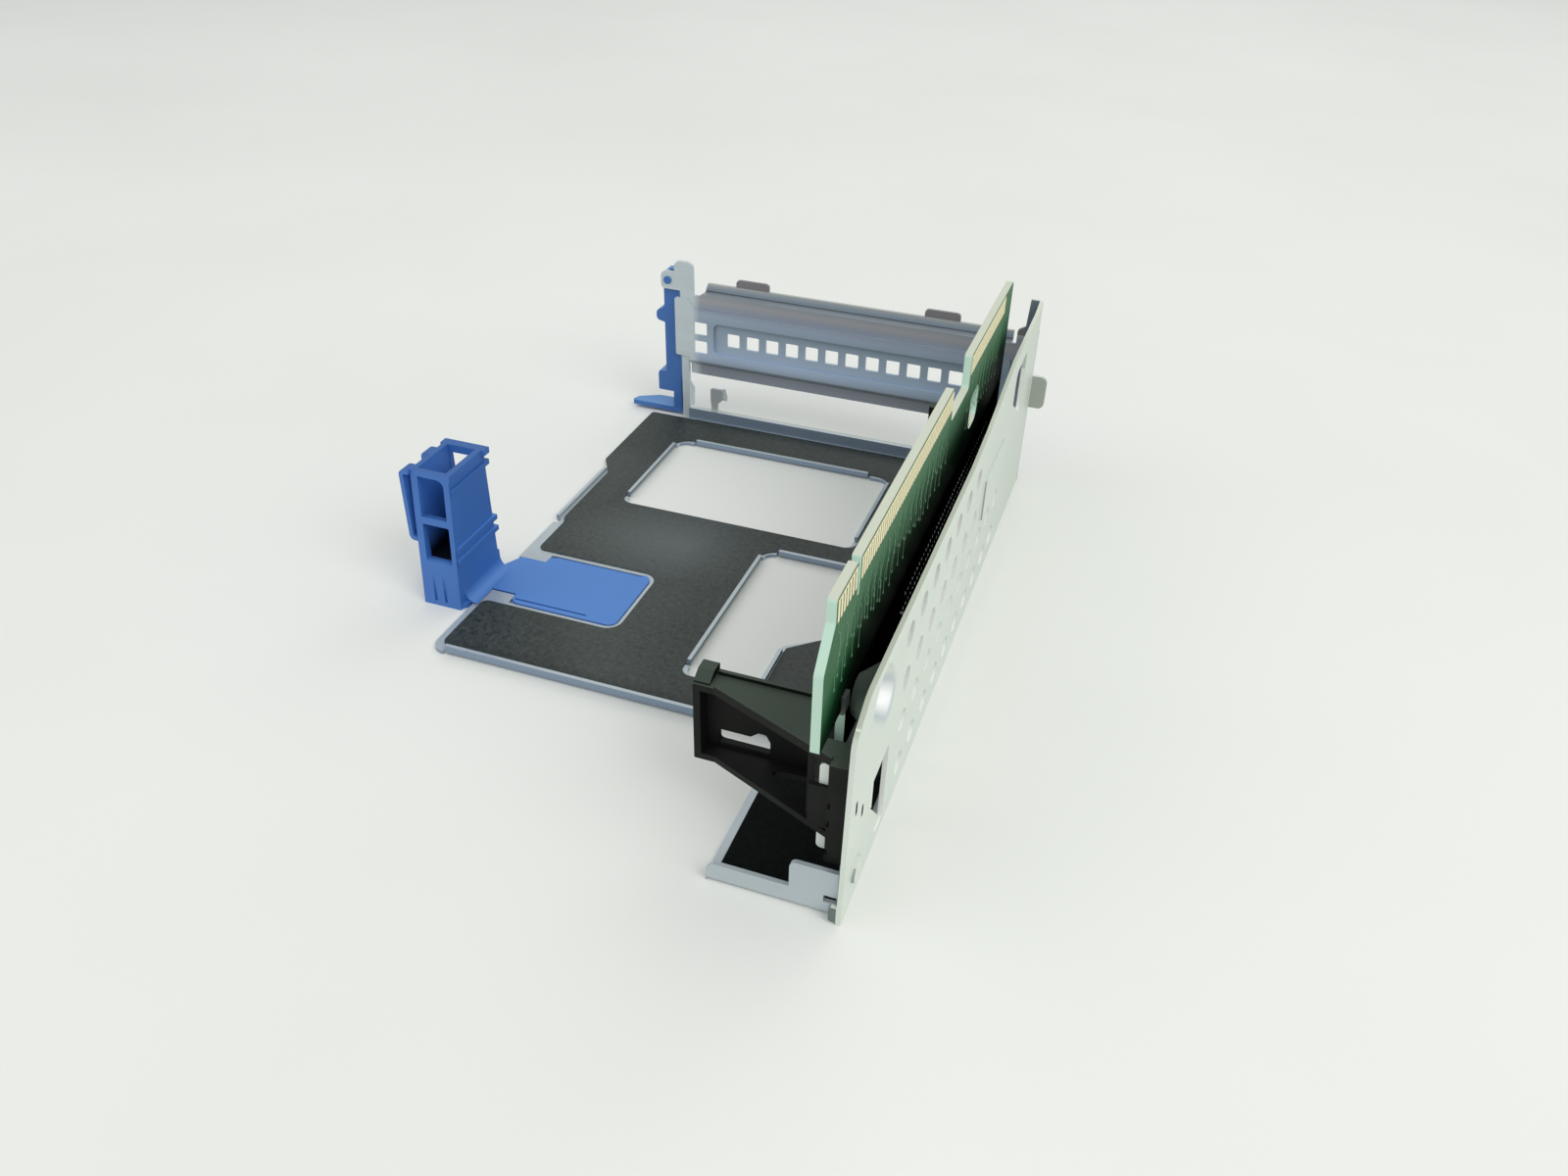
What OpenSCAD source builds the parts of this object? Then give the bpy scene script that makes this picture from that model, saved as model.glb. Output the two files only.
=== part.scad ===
// Riser cage bracket: a bent-sheet cage with a film-covered base, a vented side wall
// carrying a riser board, a rear card frame with a slot filler and a hinged card latch.
// X runs to the side wall's outer face at 0, Y runs to the rear frame at 0, Z is up.

/* [Base] */
// Width of the cage, from the base's left edge to the outside of the side wall
base_w = 122.2; // [118:0.1:132]
// Length of the base, from the rear frame to its front edge
base_l = 142; // [140:1:156]
// Width of the narrow foot that runs forward along the side wall
foot_w = 29.2; // [27:0.1:32]
// Length of the foot in front of the base
foot_l = 44.4; // [44:0.1:49]
// Thickness of every bent sheet
sheet_t = 1; // [0.8:0.05:1.1]
// Height of the small turned-up rims
rim_h = 2.9; // [2.4:0.1:3.4]
// Height of the rims round the windows
window_rim_h = 2.3; // [2.2:0.1:3]
// Height of the tall part of the foot's front flange
foot_flange_h = 12.1; // [11:0.1:13]
// Thickness of the insulating film
film_t = 0.3; // [0.2:0.05:0.4]
// Bare margin left round the film
film_margin = 1.9; // [1.7:0.1:2.4]

/* [Side wall] */
// Height of the wall along its low front stretch
wall_h = 50.3; // [49:0.1:54]
// Rise of the wall towards its rear end
wall_rise = 9; // [6:0.1:11]
// Diameter of the vent holes
vent_d = 5.6; // [4:0.1:6]
// Spacing of the vent columns
vent_pitch = 11.06; // [10.4:0.02:11.2]
// Height of each vent row above the underside
vent_rows = [7.5, 19.6, 31, 42.6]; // heights of the rows

/* [Rear frame] */
// Top of the card opening
opening_top = 39.1; // [38.6:0.1:40]
// Height of the bottom rail
rail_h = 4.7; // [4.2:0.1:5.2]
// Depth of the shelf along the upper rail
shelf_d = 3; // [2.4:0.1:3.6]
// Height of the lip behind the shelf
lip_h = 2.8; // [2.2:0.1:3.4]

/* [Slot filler] */
// Thickness of the filler sheet
filler_t = 0.8; // [0.6:0.05:0.9]
// Depth of the pressed channel
channel_d = 1; // [0.7:0.1:1.2]
// Number of square vent holes in the channel
square_n = 12; // [8:1:13]
// Side of each square vent hole
square_s = 4.3; // [3.5:0.1:4.6]

/* [Riser board] */
// Gap between the side wall's inner face and the board
board_gap = 4.44; // [4.2:0.02:5]
// Thickness of the board
board_t = 1.8; // [1.5:0.05:2]
// Height of the board's top edge
board_top = 74.1; // [73.6:0.1:76]
// Height of the gold contacts below the top edge
finger_h = 5.2; // [4.4:0.1:5.4]
// Length of the card connector
slot_l = 89; // [86:0.5:90]
// Width of the card connector
slot_w = 7.5; // [7:0.1:7.8]
// Height of the card connector off the board
slot_h = 11.25; // [10.6:0.05:11.6]

/* [Card guide] */
// Top of the card guide
guide_top = 37.4; // [37:0.1:38]
// Underside of the card guide
guide_bottom = 18; // [17:0.1:19]
// Wall thickness of the card guide
guide_t = 1.5; // [1.2:0.1:1.8]

/* [Touch-point tower] */
// Width of the tower
tower_w = 10.9; // [9.6:0.1:11.5]
// Height of the tower
tower_h = 38.6; // [37:0.1:42]
// Wall thickness of the tower
tower_t = 1.4; // [1.1:0.1:1.6]

/* [Card latch] */
// Radius of the latch's hinge stub
stub_r = 1.25; // [1:0.05:1.5]
// Running clearance round the stub
pin_gap = 0.05; // [0.02:0.01:0.09]

/* [Fits] */
// Clearance between fixed pieces that slot together
fit = 0.15; // [0.1:0.01:0.2]
// Clearance between the latch and the frame
swing_gap = 0.3; // [0.2:0.05:0.4]

/* [Hidden] */
$fn = 48;
arc_steps = 6;
eps = 0.01;
xl = -base_w;
xstep = xl - 2.8;
yf = -base_l;
yt = yf - foot_l;
xfoot = -foot_w;
wall_in = -sheet_t;
film_top = sheet_t + film_t;
bend_r = sheet_t + 0.3;
// tongue slot in the base and the two tabs that narrow its mouth
slot_y0 = yf + 24.2;
slot_y1 = yf + 48.5;
slot_x1 = xl + 39.3;
tab_x = xl + 8.4;
neck_y0 = slot_y0 + 3.7;
neck_y1 = slot_y1 - 3.7;
// windows
win_a = [xl + 14.5, -59.8, -37.1, -17.8];
win_b = [xl + 63.6, yf + 13, -19, -70.1];
step_x = xl + 82.3;
step_y = yf + 32.6;
// left rim
rim_y0 = -75.4;
rim_y1 = -43.2;
// rear frame
post_x0 = xl + 7.8;
post_x1 = xl + 10.4;
open_x1 = -8.6;
shelf_z = opening_top + 5.7;
lip_top = shelf_z + lip_h;
lug_top = lip_top + 2.5;
ear_top = 54.7;
hook_x = xl + 18.3;
// slot filler
fill_x0 = xl + 6.1;
fill_top = opening_top + 0.7;
channel = [xl + 19.5, 25.2, -19.4, 36];
square_x0 = xl + 23.8;
square_pitch = (-20.9 - square_x0 - square_s) / (square_n - 1);
// riser board
board_x1 = wall_in - board_gap;
board_x0 = board_x1 - board_t;
board_front = yt - 4;
board_rear = -28.2;
board_step = yt + 11.8;
board_low = 45;
finger_z0 = board_top - finger_h;
key = [yt + 14.1, yt + 15.9];
gap_b = [key[1] + 72, key[1] + 90.4];
slot_z = 41.4;
slot_y = -49;
boss_y = yt + 19;
boss_z = 41.1;
boss_tip_r = 4;
screw_r = 1.45;
// card guide
guide_x1 = -8.9;
guide_y0 = yt + 14.6;
guide_y1 = yt + 19.9;
flange_y = yt + 4;
flange_x0 = -7.5;
flange_z0 = 13.8;
flange_z1 = guide_top - guide_t - 0.2;
leg_x0 = -5.2;
rivet_y = yt + 6.9;
rivet_z = 7.5;
// latch
pivot = [post_x0 - 4.3, 48];
latch_y = sheet_t + swing_gap;
latch_d = 5.2;

// ---- plane outlines with rounded corners -------------------------------------------------

function unit(v) = v / norm(v);

// the arc that replaces corner b, between neighbours a and c
function fillet(a, b, c, r) =
    r == 0 ? [b] :
    let (
        u = unit(a - b),
        v = unit(c - b),
        half = acos(u * v) / 2,
        m = b + unit(u + v) * r / sin(half),
        p = b + u * r / tan(half),
        q = b + v * r / tan(half),
        a0 = atan2(p.y - m.y, p.x - m.x),
        a1 = atan2(q.y - m.y, q.x - m.x),
        sweep = ((a1 - a0 + 540) % 360) - 180
    )
    [for (i = [0:arc_steps]) m + r * [cos(a0 + sweep * i / arc_steps), sin(a0 + sweep * i / arc_steps)]];

function xy(p) = [p.x, p.y];

// rounds an outline given as [x, y] or [x, y, corner radius]
function rounded(pts) = [
    for (i = [0:len(pts) - 1])
        each fillet(
            xy(pts[(i + len(pts) - 1) % len(pts)]),
            xy(pts[i]),
            xy(pts[(i + 1) % len(pts)]),
            len(pts[i]) > 2 ? pts[i][2] : 0
        )
];

function box_pts(x0, y0, x1, y1, r = 0) = rounded([[x0, y0, r], [x1, y0, r], [x1, y1, r], [x0, y1, r]]);

// a plate in XY from height z up by t
module plate_xy(pts, z, t) {
    translate([0, 0, z])
        linear_extrude(t)
            polygon(pts);
}

// a plate in XZ from y to y + t
module plate_xz(pts, y, t) {
    translate([0, y + t, 0])
        rotate([90, 0, 0])
            linear_extrude(t)
                polygon(pts);
}

// a plate in YZ from x to x + t
module plate_yz(pts, x, t) {
    translate([x, 0, 0])
        rotate([90, 0, 90])
            linear_extrude(t)
                polygon(pts);
}

module block(a, b) {
    translate(a)
        cube(b - a);
}

module rod_x(x0, x1, y, z, r) {
    translate([x0, y, z])
        rotate([0, 90, 0])
            cylinder(r = r, h = x1 - x0);
}

// ---- turned-up rims ----------------------------------------------------------------------

// cross-section of a rim: u runs inwards from its outer face, v upwards
function rim_profile(h) = concat(
    [[0, h], [0, bend_r]],
    [for (i = [1:arc_steps - 1])
        [bend_r - bend_r * cos(90 * i / arc_steps), bend_r - bend_r * sin(90 * i / arc_steps)]],
    [[bend_r, 0], [2, 0], [2, sheet_t], [sheet_t, sheet_t], [sheet_t, h]]
);

// a rim from [x, y] along heading a for length l, the sheet on its left
module rim(r) {
    translate([r[0], r[1], 0])
        rotate([0, 0, r[2]])
            rotate([90, 0, 90])
                linear_extrude(r[3])
                    polygon(rim_profile(r[4]));
}

// clears the sheet under a rim, with a relief notch at each end
module rim_clear(r) {
    translate([r[0], r[1], 0])
        rotate([0, 0, r[2]])
            translate([-r[5], -1, -1])
                cube([r[3] + 2 * r[5], 2.5, sheet_t + 2]);
}

// every rim of the base: x, y, heading, length, height, relief at its ends
RIMS = [
    [xl + 4.6, yf, 0, xfoot - xl - 5.4, rim_h, 0.6],
    [xl, rim_y1, -90, rim_y1 - rim_y0, window_rim_h, 0.3],
    [xfoot + 0.3, yt, 0, -11.4 - xfoot - 0.3, 5.1, 0],
    [-11.4, yt, 0, 10, foot_flange_h, 0],
    [-1.2, 0, 180, -1.2 - post_x1, rail_h, 0],
    [win_a[0] + 5.6, win_a[3], 0, win_a[2] - win_a[0] - 12.4, window_rim_h, 0.7],
    [win_a[0], win_a[1] + 4.2, 90, 34, window_rim_h, 0.7],
    [win_a[2], win_a[3] - 3.2, -90, 34, window_rim_h, 0.7],
    [win_b[0] + 3.7, win_b[3], 0, 32, window_rim_h, 0.7],
    [win_b[0], win_b[1] + 4.6, 90, -win_b[1] + win_b[3] - 8.2, window_rim_h, 0.7],
    [step_x, step_y - 2.6, -90, step_y - win_b[1] - 6.6, window_rim_h, 0.5]
];

window_a_pts = box_pts(win_a[0], win_a[1], win_a[2], win_a[3], 3);
window_b_pts = rounded([
    [win_b[0], win_b[1], 3], [step_x, win_b[1], 3], [step_x, step_y, 1],
    [step_x + 9.3, step_y + 6.5, 1], [win_b[2], step_y + 6.5, 3], [win_b[2], win_b[3], 3], [win_b[0], win_b[3], 3]
]);
window_a_film = rounded([
    [win_a[0] - 1.3, win_a[1] - 0.15, 3.2], [win_a[2] + 1.3, win_a[1] - 0.15, 3.2],
    [win_a[2] + 1.3, win_a[3] + 1.3, 5.8], [win_a[0] - 1.3, win_a[3] + 1.3, 5.8]
]);
window_b_film = rounded([
    [win_b[0] - 1.3, win_b[1] - 0.15, 3], [step_x + 1.3, win_b[1] - 0.15, 3], [step_x + 1.3, step_y - 0.8, 1.5],
    [step_x + 9.4, step_y + 6.3, 1.5], [win_b[2] + 0.15, step_y + 6.3, 3],
    [win_b[2] + 0.15, win_b[3] + 1.3, 3.5], [win_b[0] - 1.3, win_b[3] + 1.3, 5.8]
]);

// ---- base --------------------------------------------------------------------------------

base_pts = rounded([
    [xl, yf, 3.8], [xfoot, yf, 0.8], [xfoot, yt, 0.3], [wall_in, yt], [wall_in, 0],
    [post_x1 + 2.6, 0], [post_x1 + 2.6, -1.9], [xstep, -1.9, 1], [xstep, rim_y1 + 6, 2.5], [xl, rim_y1 + 0.6, 1],
    [xl, rim_y0 - 0.3], [xl + 1.5, rim_y0 - 0.3], [xl + 1.5, rim_y0 - 1.9], [xl, rim_y0 - 1.9]
]);

// the tongue's slot, its mouth narrowed by a tab on each side
slot_pts = rounded([
    [xl - 1, neck_y0], [tab_x, neck_y0, 0.6], [tab_x, slot_y0, 0.5], [slot_x1, slot_y0, 3],
    [slot_x1, slot_y1, 3], [tab_x, slot_y1, 0.5], [tab_x, neck_y1, 0.6], [xl - 1, neck_y1]
]);

module base_sheet() {
    difference() {
        plate_xy(base_pts, 0, sheet_t);
        plate_xy(window_a_pts, -1, sheet_t + 2);
        plate_xy(window_b_pts, -1, sheet_t + 2);
        plate_xy(slot_pts, -1, sheet_t + 2);
        for (r = RIMS)
            rim_clear(r);
    }
    for (r = RIMS)
        rim(r);
}

module base_plate() {
    color("gainsboro") {
        difference() {
            base_sheet();
            // notch where the wall's foot hooks round the flange
            block([-4.2, yt - 1, 3.6], [-0.9, yt + sheet_t + 1, 5.4]);
            // clipped ends of the left rim and of the foot's front flange
            translate([xl + 0.5, rim_y1, window_rim_h])
                rotate([45, 0, 0])
                    cube(2, center = true);
            translate([xfoot + 0.3, yt + 0.5, 5.1])
                rotate([0, 45, 0])
                    cube(2.2, center = true);
            // rounded corner of the tall flange
            translate([-11.4, yt - 1, foot_flange_h - 1.5])
                corner_xz(1.5, sheet_t + 2);
        }
        // ear spot-welded to the side wall
        difference() {
            plate_yz(rounded([
                [yt + 2.4, 0], [yt + 13.7, 0], [yt + 13.7, 9.4, 2], [yt + 10.4, 12.4, 1], [yt + 2.4, 12.4, 1]
            ]), wall_in - sheet_t, sheet_t);
            rod_x(wall_in - 2 * sheet_t, 0, rivet_y, rivet_z, 1.6);
        }
    }
}

// what a corner of radius r loses, along Y
module corner_xz(r, t) {
    difference() {
        translate([-eps, 0, 0])
            cube([r + eps, t, r + eps]);
        translate([r, t + eps, 0])
            rotate([90, 0, 0])
                cylinder(r = r, h = t + 2 * eps);
    }
}

module insulator_film() {
    m = film_margin;
    color([0.15, 0.15, 0.16])
        difference() {
            plate_xy(rounded([
                [xl + m, yf + m, 3], [xfoot + m, yf + m, 0.5], [xfoot + m, yt + m + 0.6, 1],
                [-2.6, yt + m + 0.6], [-2.6, -m], [post_x1 + 3, -m], [post_x1 + 3, -2.1],
                [xstep + 0.15, -2.1, 1], [xstep + 0.15, rim_y1 + 5, 3.5], [xl + m, rim_y1 - 2, 3],
                [xl + m, rim_y0 + 1.4, 0.5], [xl + m + 1.2, rim_y0 - 1.6, 1], [xl + m + 1.2, slot_y1 + 1.3, 2],
                [slot_x1 + 1.1, slot_y1 + 1.3, 4], [slot_x1 + 1.1, slot_y0 - 1.3, 4], [xl + m, slot_y0 - 1.3, 2]
            ]), sheet_t, film_t);
            plate_xy(window_a_film, 0, 3);
            plate_xy(window_b_film, 0, 3);
        }
}

// ---- side wall ---------------------------------------------------------------------------

wall_pts = rounded([
    [yt - 1.8, 0], [0, 0], [0, wall_h + wall_rise, 0.8], [-7, wall_h + wall_rise - 1.5, 5],
    [-30, wall_h + wall_rise - 1.8, 8], [-42, wall_h + wall_rise - 2.1, 8], [-56, wall_h + wall_rise * 0.48, 8],
    [-72, wall_h + wall_rise * 0.16, 10], [-90, wall_h, 10], [yt + 9, wall_h, 8], [yt + 0.4, wall_h - 4.6, 4]
]);

function vent_at(c) = yt + 39.1 + c * vent_pitch;
function vent_kept(y, z) = !(y > -76 && y < -42 && z > 20 && z < 43) && !(y > -44 && z > 30);
vent_columns = floor((-45 - vent_at(0)) / vent_pitch);

module side_wall() {
    color("gainsboro") {
        difference() {
            union() {
                plate_yz(wall_pts, -sheet_t, sheet_t);
                // raised pad on the outside
                plate_yz(box_pts(-71.1, 25.2, -45.8, 37.4, 1.2), -eps, 0.6 + eps);
                // dimple pressed in towards the riser board
                translate([wall_in - board_gap, boss_y, boss_z])
                    rotate([0, 90, 0])
                        cylinder(r1 = boss_tip_r, r2 = boss_tip_r + 3.8, h = board_gap);
            }
            for (z = vent_rows)
                for (c = [0:vent_columns])
                    if (vent_kept(vent_at(c), z))
                        rod_x(-sheet_t - 1, 1, vent_at(c), z, vent_d / 2);
            // inside of the pad and of the dimple
            plate_yz(box_pts(-70.3, 26, -46.6, 36.6, 0.8), -sheet_t - 1, 1.5);
            translate([wall_in - board_gap + sheet_t, boss_y, boss_z])
                rotate([0, 90, 0])
                    cylinder(r1 = boss_tip_r - 0.6, r2 = boss_tip_r + 3.2, h = board_gap);
            rod_x(wall_in - board_gap - 1, 1, boss_y, boss_z, screw_r + fit);
            // window beside the foot and the shallow lance in front of it
            plate_yz(rounded([
                [yt + 16.8, 22], [yt + 16.6, 14.8], [yt + 27.5, 1.9], [yt + 28, 22.4]
            ]), -2, 3);
            plate_yz(rounded([
                [yt + 12.4, 24, 1], [yt + 11.4, 18, 1], [yt + 22.4, 2.4, 1], [yt + 27.1, 2.4],
                [yt + 16.6, 14.8], [yt + 16.8, 23.6]
            ]), -0.4, 2);
            // small punched slots
            plate_yz(box_pts(yt + 3.4, 24.8, yt + 4.7, 28.2, 0.5), -2, 3);
            plate_yz(box_pts(yt + 8.3, 19.9, yt + 9.6, 23, 0.5), -2, 3);
            plate_yz(box_pts(yt + 11.6, 1.9, yt + 13, 4.6, 0.5), -2, 3);
            plate_yz(rounded([
                [-21.3, 33.8, 1], [-21.3, 52.3, 1.5], [-36.3, 51.8, 2.5], [-36.3, 42.4, 1.5]
            ]), -2, 3);
            // rivet hole in line with the base's ear
            rod_x(-2, 1, rivet_y, rivet_z, 1.6);
        }
        // front flange turned in behind the card guide's leg
        plate_xz(rounded([
            [flange_x0, flange_z0, 1], [-sheet_t + eps, flange_z0],
            [-sheet_t + eps, flange_z1], [flange_x0, flange_z1, 1]
        ]), flange_y, sheet_t);
        // curled lip under the front corner
        plate_xz(rounded([
            [-2.6, 0.6, 0.7], [-1 + eps, 0.6], [-1 + eps, 4.6], [-2.6, 4.6, 0.5]
        ]), yt - 1.8, sheet_t);
        // flange turned in behind the riser board at the rear
        plate_xz(rounded([
            [-4.1, 47.7, 0.8], [-1 + eps, 47.7], [-1 + eps, wall_h + wall_rise], [-3.4, wall_h + wall_rise, 0.3]
        ]), -sheet_t, sheet_t);
        // tab turned out at the rear for the chassis
        plate_xz(rounded([
            [-eps, 25.9], [4.7, 25.9, 1.8], [4.7, 36, 1.8], [-eps, 36]
        ]), -sheet_t, sheet_t);
    }
}

module wall_rivet() {
    color("silver") {
        rod_x(wall_in - sheet_t - 0.6, 0.2, rivet_y, rivet_z, 1.55);
        rod_x(0, 0.7, rivet_y, rivet_z, 2.9);
        rod_x(wall_in - sheet_t - 0.6, wall_in - sheet_t, rivet_y, rivet_z, 2.4);
    }
}

// ---- rear frame --------------------------------------------------------------------------

frame_pts = rounded([
    [post_x0, 0], [-eps, 0], [-eps, wall_h + 2.5, 2], [open_x1 + 2.4, wall_h - 1.1, 1],
    [open_x1 + 2.4, shelf_z, 0.3], [post_x1 + 4.6, shelf_z], [post_x1 + 4.1, shelf_z - 0.7],
    [post_x1 + 2, shelf_z - 0.7, 0.4], [post_x1 + 2, ear_top, 2], [post_x0 - 1.9, ear_top, 2],
    [post_x0 - 1.9, 51], [pivot.x - 2.3, 51, 2], [pivot.x - 2.3, 45.1, 1.2], [post_x0, 45.1, 0.3]
]);

// rear rail: web, shelf and lip in one run
function shelf_profile() = [
    [0, shelf_z - sheet_t - 0.3], [0, shelf_z], [shelf_d + sheet_t - 0.6, shelf_z],
    [shelf_d, shelf_z + 0.6], [shelf_d, lip_top], [shelf_d + sheet_t, lip_top],
    [shelf_d + sheet_t, shelf_z - 0.2], [shelf_d + 0.4, shelf_z - sheet_t], [sheet_t, shelf_z - sheet_t]
];

module rear_frame() {
    color("lightsteelblue") {
        difference() {
            plate_xz(frame_pts, 0, sheet_t);
            // card opening, leaving the hook that stands on the bottom rail
            plate_xz(rounded([
                [post_x1, rail_h, 1], [hook_x, rail_h, 0.4], [hook_x - 0.4, 9], [hook_x - 0.4, 12.6, 0.5],
                [hook_x + 4, 12.6, 0.5], [hook_x + 4, 9.2, 0.3], [hook_x + 2, 7.2], [hook_x + 2, rail_h, 0.4],
                [open_x1, rail_h, 1], [open_x1, opening_top, 1], [post_x1, opening_top, 1]
            ]), -1, sheet_t + 2);
            // bore for the latch's stub
            translate([pivot.x, -1, pivot.y])
                rotate([-90, 0, 0])
                    cylinder(r = stub_r + pin_gap, h = sheet_t + 2);
        }
        difference() {
            translate([post_x1 + 3.6, 0, 0])
                rotate([90, 0, 90])
                    linear_extrude(open_x1 + 1 - post_x1 - 3.6)
                        polygon(shelf_profile());
            // slanting end of the shelf and lip
            plate_xz([
                [post_x1 + 3, shelf_z - 2], [post_x1 + 4.2, shelf_z - 2],
                [post_x1 + 6, lip_top + 0.5], [post_x1 + 3, lip_top + 0.5]
            ], -1, shelf_d + sheet_t + 2);
        }
        for (x = [xl + 25.9, -35])
            plate_xz(rounded([
                [x, lip_top - eps], [x + 11, lip_top - eps], [x + 11, lug_top, 1.2], [x, lug_top, 1.2]
            ]), shelf_d, sheet_t);
        // ear of the hook, turned back
        plate_yz(rounded([
            [sheet_t - eps, 9.4], [sheet_t - eps, 12.2], [2.4, 12.2, 0.5], [4.4, 8, 0.5], [3.6, 7, 0.5]
        ]), hook_x + 3, sheet_t);
        // flange turned back along the post
        plate_yz(rounded([
            [sheet_t - eps, 1.9], [7.6, 1.9, 1], [8.2, 7.8, 1], [3.6, 13.5, 1], [sheet_t - eps, 13.5]
        ]), post_x0, sheet_t);
    }
}

// ---- slot filler -------------------------------------------------------------------------

filler_pts = rounded([
    [fill_x0, 23.4, 0.6], [post_x1 + 0.4, 23.4], [post_x1 + 0.4, 22.4], [open_x1 - 0.3, 22.4],
    [open_x1 + 1.6, 24, 0.5], [open_x1 + 1.6, fill_top, 0.5], [post_x1 + 2.4, fill_top],
    [post_x1 - 0.6, 43, 0.8], [fill_x0, 43, 0.8]
]);

// lower band, joggled back into the opening
function band_profile() = [
    [-filler_t, 22.4 + eps], [-filler_t, 22.1], [1.1, 20.2], [1.1, 16.8],
    [1.1 + filler_t, 16.8], [1.1 + filler_t, 20.6], [0, 22.4 + eps]
];

module slot_filler() {
    color("slategray")
        difference() {
            union() {
                plate_xz(filler_pts, -filler_t, filler_t);
                plate_xz(box_pts(
                    channel[0] - 0.6, channel[1] - 0.6, channel[2] + 0.6, channel[3] + 0.6, 2.8
                ), -eps, channel_d + eps);
                translate([post_x1 + 0.4, 0, 0])
                    rotate([90, 0, 90])
                        linear_extrude(open_x1 - 0.7 - post_x1)
                            polygon(band_profile());
            }
            plate_xz(box_pts(channel[0], channel[1], channel[2], channel[3], 2.2), -2, 2 + channel_d - filler_t);
            for (i = [0:square_n - 1])
                plate_xz(box_pts(
                    square_x0 + i * square_pitch, 28.3,
                    square_x0 + i * square_pitch + square_s, 28.6 + square_s, 0.4
                ), -2, 5);
            for (z = [25, 31.3])
                plate_xz(box_pts(xl + 12.7, z, xl + 12.9 + square_s, z + square_s, 0.4), -2, 5);
        }
}

// ---- card latch --------------------------------------------------------------------------

module card_latch() {
    px = pivot.x;
    color("royalblue") {
        translate([px, -0.4, pivot.y])
            rotate([-90, 0, 0])
                cylinder(r = stub_r, h = latch_y + 0.5);
        difference() {
            plate_xz(rounded([
                [px + 0.4, 1.2], [px + 3.3, 1.2], [px + 3.3, 51.4, 0.6], [px + 0.4, 51.4, 0.6], [px - 0.6, 50.4, 0.8],
                [px - 2, 50.4, 0.9], [px - 2, 38.4, 0.3], [px - 4.9, 36.6, 1.4], [px - 4.9, 33.6, 1.4],
                [px - 2, 33, 0.3], [px - 2, 15.6, 0.3], [px - 4.4, 15.6, 0.5], [px - 5, 14.6, 0.4],
                [px - 5, 8.6, 0.4], [px + 0.4, 8.6]
            ]), latch_y, latch_d);
            // long recess that lightens the bar from behind
            plate_xz(box_pts(px - 0.9, 16, px + 2.1, 42, 0.8), latch_y + 1.6, latch_d);
        }
        // spine beside the post
        plate_xz(box_pts(px + 3, 1.4, px + 4 - eps, 23, 0.3), latch_y + 2.5, latch_d - 2.7);
        // thumb paddle
        plate_xy(rounded([
            [px - 15.4, latch_y, 0.7], [px + 3.3, latch_y], [px + 3.3, latch_y + 6.8, 1],
            [px - 7.5, latch_y + 6.8, 4], [px - 14.2, latch_y + 3.2, 2]
        ]), 1.2, 1.6);
    }
}

// ---- touch-point tower -------------------------------------------------------------------

tower_x1 = xl - 1.9;
tower_x0 = tower_x1 - tower_w;

// front and rear faces lean together slightly; f is the share of the height
function tower_front(z, g = 0) = yf + 17.7 + 3 * z / tower_h + g;
function tower_back(z, g = 0) = yf + 37.8 - 0.8 * z / tower_h - g;

module tower_band(z0, z1, x0, x1, g0, g1) {
    plate_yz([
        [tower_front(z0, g0), z0], [tower_back(z0, g1), z0], [tower_back(z1, g1), z1], [tower_front(z1, g0), z1]
    ], x0, x1 - x0);
}

module tower_loop(y0, y1) {
    w = 1.15;
    x = tower_x0 - 2.7;
    // the strap stands off the side and joins it at both ends
    translate([0, y0, 0])
        plate_xz(rounded([
            [x, 17.9, 1.5], [tower_x0 + eps, 17.9], [tower_x0 + eps, 17.9 + w], [x + w, 17.9 + w, 0.5],
            [x + w, tower_h - w, 0.5], [tower_x0 + eps, tower_h - w], [tower_x0 + eps, tower_h], [x, tower_h, 1.5]
        ]), 0, y1 - y0);
}

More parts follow.
